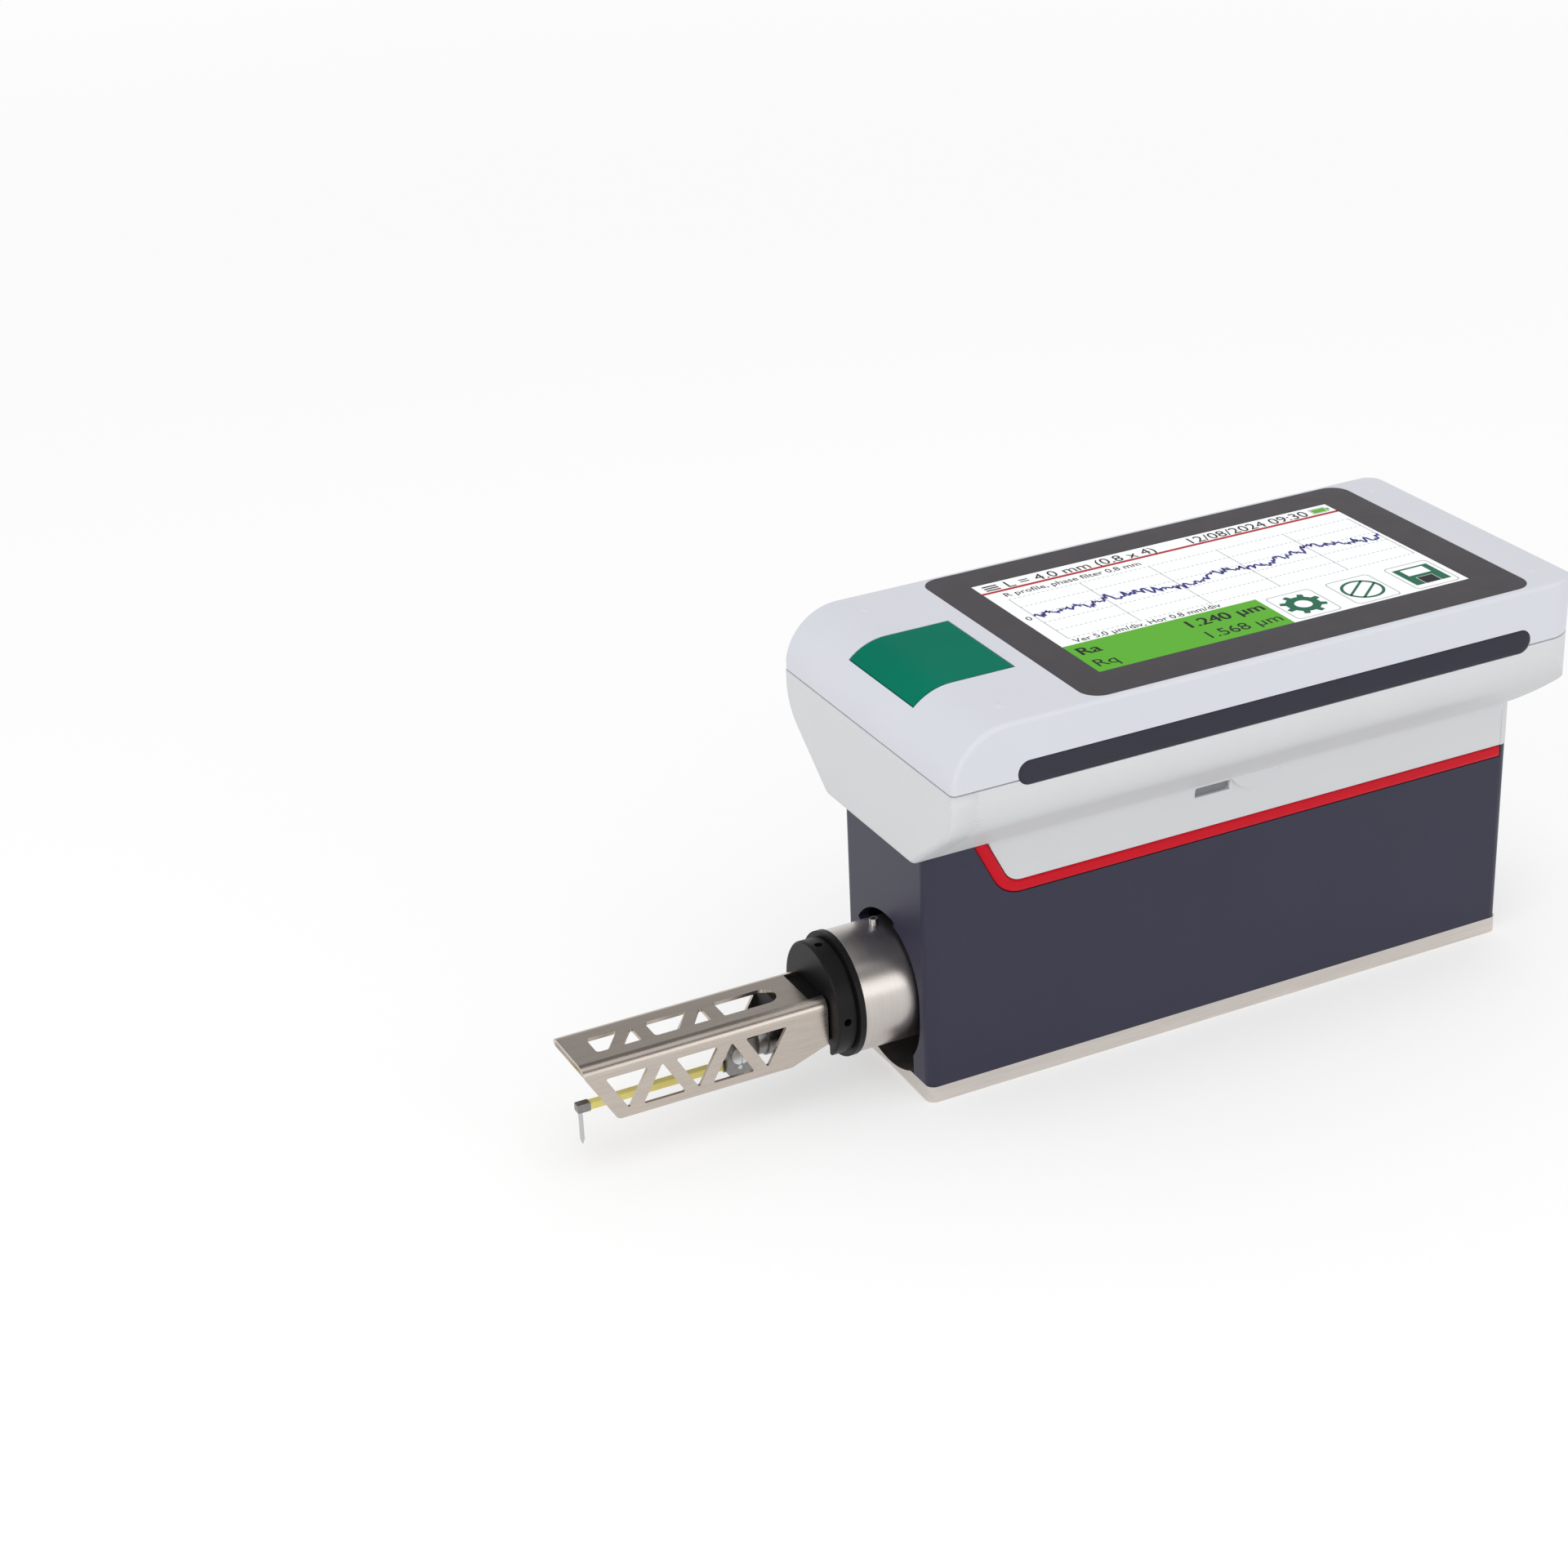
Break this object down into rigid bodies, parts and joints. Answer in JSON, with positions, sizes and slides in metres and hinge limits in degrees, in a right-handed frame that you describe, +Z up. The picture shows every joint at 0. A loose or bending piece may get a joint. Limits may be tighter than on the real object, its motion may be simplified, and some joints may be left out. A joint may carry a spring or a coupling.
{
  "type": "surface roughness tester",
  "caption": "Portable surface roughness tester: display housing on a drive case whose pickup tube, truss-cut guard and stylus arm slide in and out and can be lowered.",
  "frame": {"origin": "on the rest surface, under the middle of the whole instrument from the guard's tip to the housing's rear", "axes": "+X along the instrument from the probe towards the rear, +Y across it to its right-hand side seen from the rear looking forward, +Z up"},
  "size_m": [0.2322, 0.0764, 0.0976],
  "materials": {
    "cover_plastic": "fine moulded texture, pale cool grey",
    "housing_plastic": "fine moulded texture, pale grey",
    "lens_plastic": "smooth dark grey bezel",
    "screen_glass": "clear glass over a lit display",
    "button_plastic": "satin green moulding",
    "black_plastic": "matt black moulding",
    "grip_rubber": "soft dark blue-grey",
    "trim_plastic": "satin red",
    "circuit_board": "green solder mask",
    "screw_steel": "bright zinc",
    "battery_sleeve": "shrink sleeve",
    "case_paint": "satin dark blue-grey paint",
    "plate_steel": "ground",
    "ground_steel": "ground and polished",
    "motor_can": "plated can",
    "frame_aluminium": "machined",
    "nut_brass": "turned",
    "tube_steel": "fine turned",
    "cap_plastic": "matt black",
    "pickup_metal": "bead blasted",
    "guard_steel": "folded stainless sheet",
    "arm_plastic": "smooth pale yellow"
  },
  "bodies": {
    "housing": {"top_cover": "cover_plastic", "lower_housing": "housing_plastic", "display_lens": "lens_plastic", "lcd_module": "screen_glass", "start_switch": "black_plastic", "grip_strip_left": "grip_rubber", "grip_strip_right": "grip_rubber", "trim_left": "trim_plastic", "trim_right": "trim_plastic", "main_board": "circuit_board", "board_screws": "screw_steel", "battery_pack": "battery_sleeve", "charge_socket": "black_plastic", "data_socket": "screw_steel", "housing_screws": "screw_steel", "drive_case": "case_paint", "base_plate": "plate_steel", "base_screws": "screw_steel", "drive_board": "circuit_board", "drive_board_screws": "screw_steel", "lift_posts": "ground_steel", "lift_motor": "motor_can"},
    "start_key": {"start_button": "button_plastic"},
    "lift": {"lift_frame": "frame_aluminium", "lift_nut": "nut_brass", "guide_rods": "ground_steel", "screw_bearings": "ground_steel", "traverse_motor": "motor_can"},
    "lift_spindle": {"lift_screw": "ground_steel"},
    "traverse_spindle": {"lead_screw": "ground_steel"},
    "pickup": {"carriage": "frame_aluminium", "rod_bushes": "nut_brass", "lead_nut": "nut_brass", "pickup_tube": "tube_steel", "clamp_screw": "screw_steel", "end_cap": "cap_plastic", "pickup_block": "cap_plastic", "pickup_barrel": "pickup_metal", "probe_guard": "guard_steel", "arm_holder": "pickup_metal", "holder_screw": "screw_steel", "pivot_pin": "ground_steel"},
    "stylus_arm": {"arm_hub": "pickup_metal", "probe_arm": "arm_plastic", "stylus_clamp": "pickup_metal", "stylus": "ground_steel"}
  },
  "joints": [
    {"name": "button_press", "type": "slide", "parent": "housing", "child": "start_key", "axis": [0, 0, -1], "range_m": [0, 0.0008], "stiffness_N_per_m": 400, "springref_m": -0.0015},
    {"name": "height_adjust", "type": "slide", "parent": "housing", "child": "lift", "axis": [0, 0, 1], "range_m": [-0.0045, 0]},
    {"name": "lift_spin", "type": "hinge", "parent": "housing", "child": "lift_spindle", "pos_m": [0.08325, 0, 0.03], "axis": [0, 0, 1], "range_deg": [-820, 0]},
    {"name": "traverse", "type": "slide", "parent": "lift", "child": "pickup", "axis": [1, 0, 0], "range_m": [0, 0.0175]},
    {"name": "lead_spin", "type": "hinge", "parent": "lift", "child": "traverse_spindle", "pos_m": [0.01, 0, 0.04605], "axis": [1, 0, 0], "range_deg": [0, 1600]},
    {"name": "arm_swing", "type": "hinge", "parent": "pickup", "child": "stylus_arm", "pos_m": [-0.07755, 0, 0.0127], "axis": [0, 1, 0], "range_deg": [0, 2]}
  ],
  "couplings": [
    {"joint": "lift_spin", "follows": "height_adjust", "rad_per_m": 3141.6},
    {"joint": "lead_spin", "follows": "traverse", "rad_per_m": 1570.8}
  ]
}
